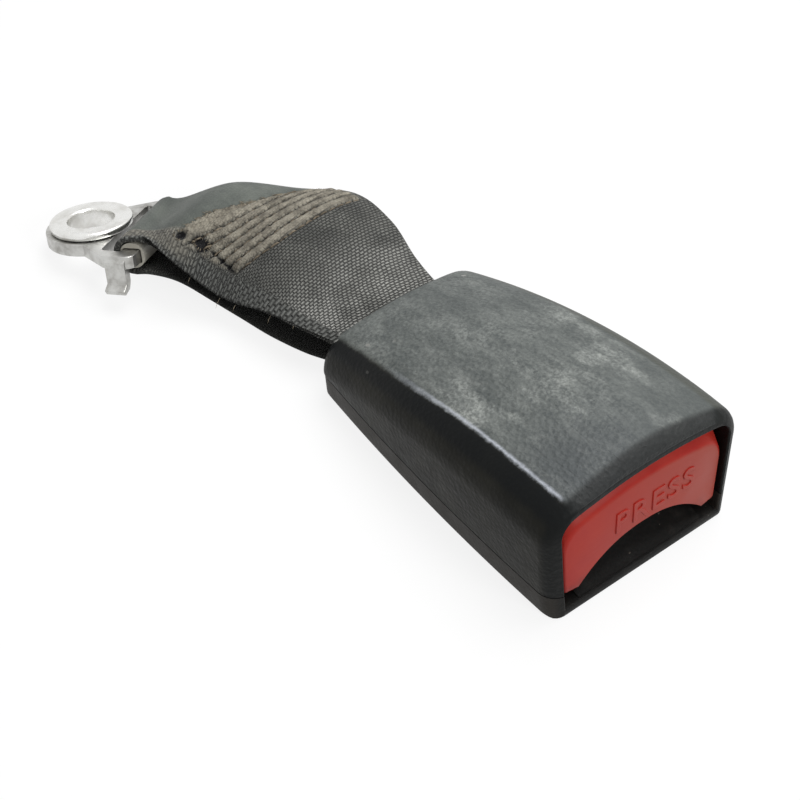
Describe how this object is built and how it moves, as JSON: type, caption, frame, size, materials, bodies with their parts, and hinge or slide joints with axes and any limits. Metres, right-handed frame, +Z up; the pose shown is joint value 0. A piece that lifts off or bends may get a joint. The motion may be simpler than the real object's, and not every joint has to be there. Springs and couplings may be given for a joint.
{
  "type": "seat belt buckle",
  "caption": "Rear seat belt buckle: tapered plastic casing with a hooded press button, steel latch frame inside, and a worn sewn webbing loop to a steel anchor plate.",
  "frame": {"origin": "middle of the casing's flat underside", "axes": "+X out of the mouth where the tongue goes in, +Z up through the casing's top, +Y to the left as seen from behind the mouth"},
  "size_m": [0.1608, 0.0713, 0.0339],
  "materials": {
    "shell_plastic": "grained charcoal plastic, scuffed",
    "button_plastic": "satin red plastic, faded",
    "zinc_plated_steel": "zinc plated",
    "spring_steel": "drawn wire",
    "inner_plastic": "natural acetal",
    "webbing_polyester": "woven, worn"
  },
  "bodies": {
    "casing": {"upper_shell": "shell_plastic", "lower_shell": "shell_plastic", "frame_channel": "zinc_plated_steel", "frame_bridge": "zinc_plated_steel", "frame_rivet_rear_left": "zinc_plated_steel", "frame_rivet_rear_right": "zinc_plated_steel", "frame_rivet_front_left": "zinc_plated_steel", "frame_rivet_front_right": "zinc_plated_steel", "latch_pivot_pin": "zinc_plated_steel", "webbing_guard": "inner_plastic", "webbing": "webbing_polyester", "ejector_spring": "spring_steel", "button_spring_left": "spring_steel", "button_spring_right": "spring_steel"},
    "button": {"release_button": "button_plastic", "lock_bar": "zinc_plated_steel"},
    "ejector": {"ejector": "inner_plastic"},
    "latch": {"latch_plate": "zinc_plated_steel"},
    "anchor": {"anchor_plate": "zinc_plated_steel", "anchor_bush": "zinc_plated_steel", "anchor_sleeve": "inner_plastic"}
  },
  "joints": [
    {"name": "button_press", "type": "slide", "parent": "casing", "child": "button", "axis": [-1, 0, 0], "range_m": [0, 0.005], "stiffness_N_per_m": 900, "springref_m": -0.004, "deforming": ["button_spring_left", "button_spring_right"]},
    {"name": "ejector_slide", "type": "slide", "parent": "casing", "child": "ejector", "axis": [-1, 0, 0], "range_m": [0, 0.009], "stiffness_N_per_m": 400, "springref_m": -0.004, "deforming": ["ejector_spring"]},
    {"name": "latch_drop", "type": "hinge", "parent": "casing", "child": "latch", "pos_m": [-0.014, 0, 0.0128], "axis": [0, 1, 0], "range_deg": [0, 9]},
    {"name": "anchor_swing", "type": "hinge", "parent": "casing", "child": "anchor", "pos_m": [-0.0974, -0.0261, 0.00765], "axis": [0.5172, -0.817, 0.2549], "range_deg": [-25, 10]}
  ],
  "couplings": [
    {"joint": "latch_drop", "follows": "ejector_slide", "rad_per_m": 17.45}
  ]
}
